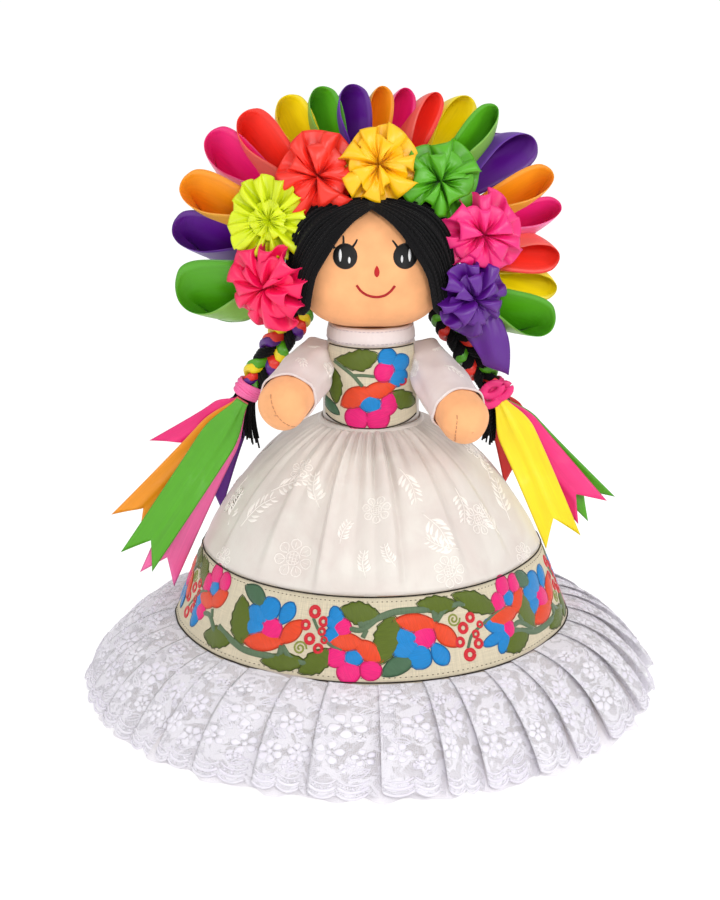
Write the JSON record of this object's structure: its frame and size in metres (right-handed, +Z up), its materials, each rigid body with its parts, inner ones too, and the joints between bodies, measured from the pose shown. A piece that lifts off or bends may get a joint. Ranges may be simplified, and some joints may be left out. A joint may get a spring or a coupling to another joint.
{
  "type": "cloth doll",
  "caption": "Stuffed cloth doll with yarn braids, a crown of ribbon loops and rosettes, an embroidered bell skirt and a pleated lace hem.",
  "frame": {"origin": "on the floor under the middle of the skirt", "axes": "+Z up through the head, -Y the way the face looks, +X to the doll's own left hand"},
  "size_m": [0.374, 0.3712, 0.3878],
  "materials": {
    "brocade": "woven satin brocade",
    "lace": "sheer patterned lace",
    "linen_trim": "coarse linen with raised satin stitch",
    "lining_cloth": "plain weave",
    "ribbon_chartreuse": "satin ribbon",
    "ribbon_coral": "satin ribbon",
    "ribbon_gold": "satin ribbon",
    "ribbon_green": "satin ribbon",
    "ribbon_hot_pink": "satin ribbon",
    "ribbon_orange": "satin ribbon",
    "ribbon_pink": "satin ribbon",
    "ribbon_purple": "satin ribbon",
    "ribbon_red": "satin ribbon",
    "ribbon_rose": "satin ribbon",
    "ribbon_yellow": "satin ribbon",
    "skin_cloth": "plain woven cotton",
    "yarn": "matte yarn"
  },
  "bodies": {
    "torso": {"torso": "skin_cloth", "collar": "brocade", "blouse": "brocade", "bodice_panel": "linen_trim", "skirt": "brocade", "trim_band": "linen_trim", "lace_ruffle": "lace", "lining": "lining_cloth"},
    "head": {"head": "skin_cloth", "hair": "yarn", "crown_band": "ribbon_gold", "loop_01_green": "ribbon_green", "loop_02_yellow": "ribbon_yellow", "loop_03_coral": "ribbon_coral", "loop_04_pink": "ribbon_pink", "loop_05_orange": "ribbon_orange", "loop_06_purple": "ribbon_purple", "loop_07_green": "ribbon_green", "loop_08_yellow": "ribbon_yellow", "loop_09_coral": "ribbon_coral", "loop_10_pink": "ribbon_pink", "loop_11_orange": "ribbon_orange", "loop_12_purple": "ribbon_purple", "loop_13_green": "ribbon_green", "loop_14_yellow": "ribbon_yellow", "loop_15_coral": "ribbon_coral", "loop_16_pink": "ribbon_pink", "loop_17_orange": "ribbon_orange", "loop_18_purple": "ribbon_purple", "loop_19_green": "ribbon_green", "rosette_hot_pink": "ribbon_hot_pink", "rosette_chartreuse": "ribbon_chartreuse", "rosette_coral": "ribbon_coral", "rosette_gold": "ribbon_gold", "rosette_green": "ribbon_green", "rosette_pink": "ribbon_pink", "rosette_purple": "ribbon_purple"},
    "right_braid": {"right_braid_yarn": "yarn", "right_braid_ribbon_a": "ribbon_coral", "right_braid_ribbon_b": "ribbon_green", "right_braid_tie": "ribbon_rose", "right_tail_pink": "ribbon_pink", "right_tail_orange": "ribbon_orange", "right_tail_rose": "ribbon_rose", "right_tail_green": "ribbon_green", "right_tail_purple": "ribbon_purple"},
    "right_arm": {"right_arm": "skin_cloth", "right_sleeve": "brocade"},
    "right_leg": {"right_leg": "skin_cloth"},
    "left_braid": {"left_braid_yarn": "yarn", "left_braid_ribbon_a": "ribbon_coral", "left_braid_ribbon_b": "ribbon_green", "left_braid_tie": "ribbon_rose", "left_tail_green": "ribbon_green", "left_tail_pink": "ribbon_pink", "left_tail_yellow": "ribbon_yellow", "left_tail_red": "ribbon_red"},
    "left_arm": {"left_arm": "skin_cloth", "left_sleeve": "brocade"},
    "left_leg": {"left_leg": "skin_cloth"}
  },
  "joints": [
    {"name": "head_turn", "type": "hinge", "parent": "torso", "child": "head", "pos_m": [0, 0, 0.24], "axis": [0, 0, 1], "range_deg": [-9, 9], "stiffness_Nm_per_rad": 0.3},
    {"name": "right_arm_swing", "type": "hinge", "parent": "torso", "child": "right_arm", "pos_m": [-0.034, 0.002, 0.216], "axis": [1, 0, 0], "range_deg": [-28, 15], "stiffness_Nm_per_rad": 0.15, "springref_deg": -3.44},
    {"name": "left_arm_swing", "type": "hinge", "parent": "torso", "child": "left_arm", "pos_m": [0.034, 0.002, 0.216], "axis": [1, 0, 0], "range_deg": [-28, 15], "stiffness_Nm_per_rad": 0.15, "springref_deg": -3.44},
    {"name": "right_braid_swing", "type": "hinge", "parent": "head", "child": "right_braid", "pos_m": [-0.0425, 0.012, 0.2396], "axis": [1, 0, 0], "range_deg": [0, 40]},
    {"name": "left_braid_swing", "type": "hinge", "parent": "head", "child": "left_braid", "pos_m": [0.0425, 0.012, 0.2396], "axis": [1, 0, 0], "range_deg": [0, 40]},
    {"name": "right_leg_swing", "type": "hinge", "parent": "torso", "child": "right_leg", "pos_m": [-0.0155, 0, 0.1446], "axis": [1, 0, 0], "range_deg": [-25, 25]},
    {"name": "left_leg_swing", "type": "hinge", "parent": "torso", "child": "left_leg", "pos_m": [0.0155, 0, 0.1446], "axis": [1, 0, 0], "range_deg": [-25, 25]}
  ]
}
